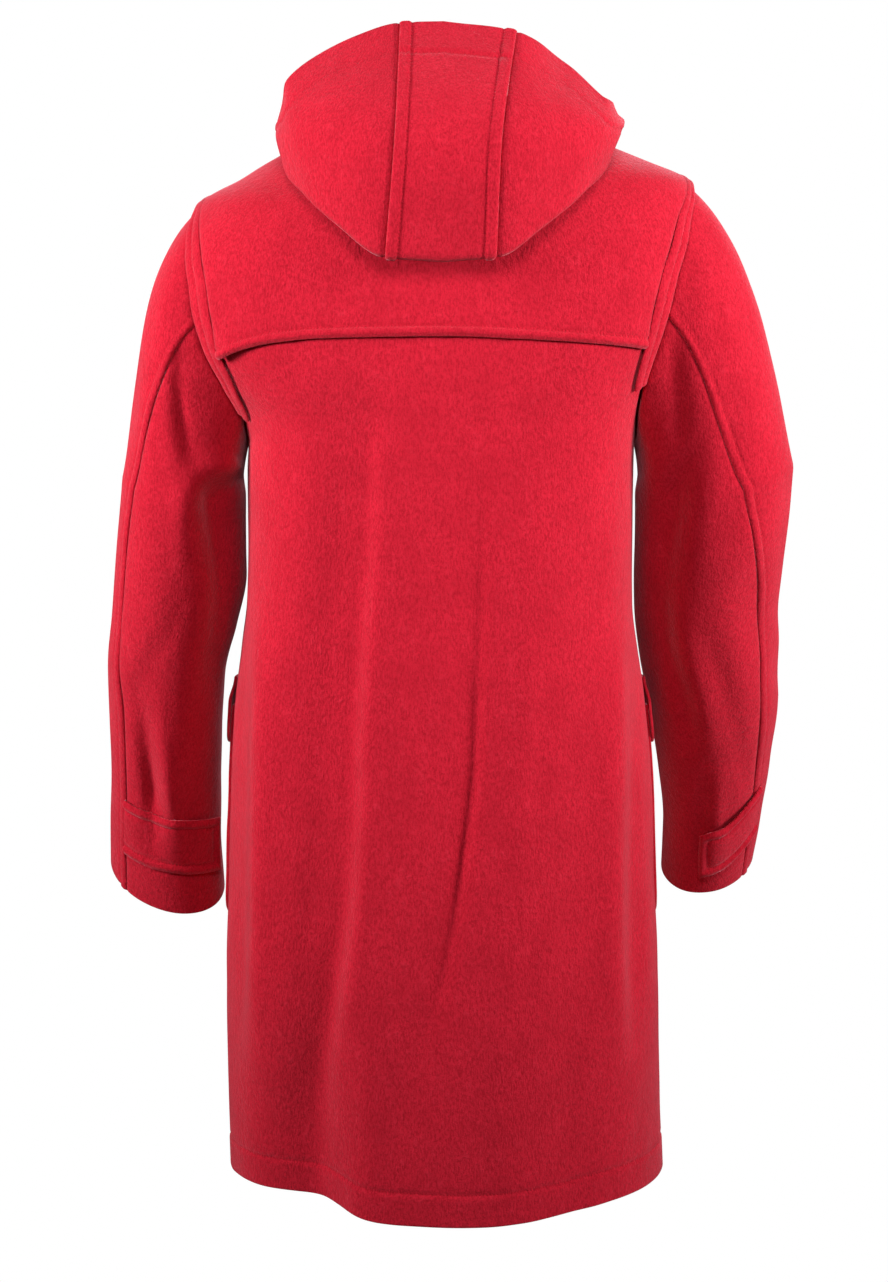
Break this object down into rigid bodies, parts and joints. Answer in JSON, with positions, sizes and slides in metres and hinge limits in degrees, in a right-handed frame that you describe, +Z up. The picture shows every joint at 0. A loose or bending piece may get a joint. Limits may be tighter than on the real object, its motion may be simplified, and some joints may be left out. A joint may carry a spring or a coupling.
{
  "type": "duffle coat",
  "caption": "Hooded wool duffle coat in its worn, hollow form, hood thrown back, with shoulder yoke, armhole bands, flap pockets, cuff tabs and a toggle front.",
  "frame": {"origin": "middle of the line from neck to shoulders, where the coat hangs from the wearer's shoulders", "axes": "+Z up the wearer, -Y the way the wearer faces, +X the wearer's left"},
  "size_m": [0.6836, 0.388, 1.1105],
  "materials": {
    "wool_red": "felted milled wool, matt with a soft nap",
    "toggle_wood": "satin",
    "toggle_rope": "braided cord"
  },
  "bodies": {
    "root": {"back": "wool_red", "front_left": "wool_red", "front_right": "wool_red", "yoke": "wool_red", "armhole_band_left": "wool_red", "armhole_band_right": "wool_red", "sleeve_upper_left": "wool_red", "sleeve_upper_right": "wool_red", "sleeve_under_left": "wool_red", "sleeve_under_right": "wool_red", "cuff_tab_left": "wool_red", "cuff_tab_right": "wool_red", "pocket_left": "wool_red", "pocket_right": "wool_red", "flap_left": "wool_red", "flap_right": "wool_red", "hood_side_left": "wool_red", "hood_gusset": "wool_red", "hood_side_right": "wool_red", "toggle_1": "toggle_wood", "loop_cord_1": "toggle_rope", "toggle_cord_1": "toggle_rope", "toggle_patch_left_1": "wool_red", "toggle_patch_right_1": "wool_red", "toggle_2": "toggle_wood", "loop_cord_2": "toggle_rope", "toggle_cord_2": "toggle_rope", "toggle_patch_left_2": "wool_red", "toggle_patch_right_2": "wool_red", "toggle_3": "toggle_wood", "loop_cord_3": "toggle_rope", "toggle_cord_3": "toggle_rope", "toggle_patch_left_3": "wool_red", "toggle_patch_right_3": "wool_red", "toggle_4": "toggle_wood", "loop_cord_4": "toggle_rope", "toggle_cord_4": "toggle_rope", "toggle_patch_left_4": "wool_red", "toggle_patch_right_4": "wool_red"}
  },
  "joints": []
}
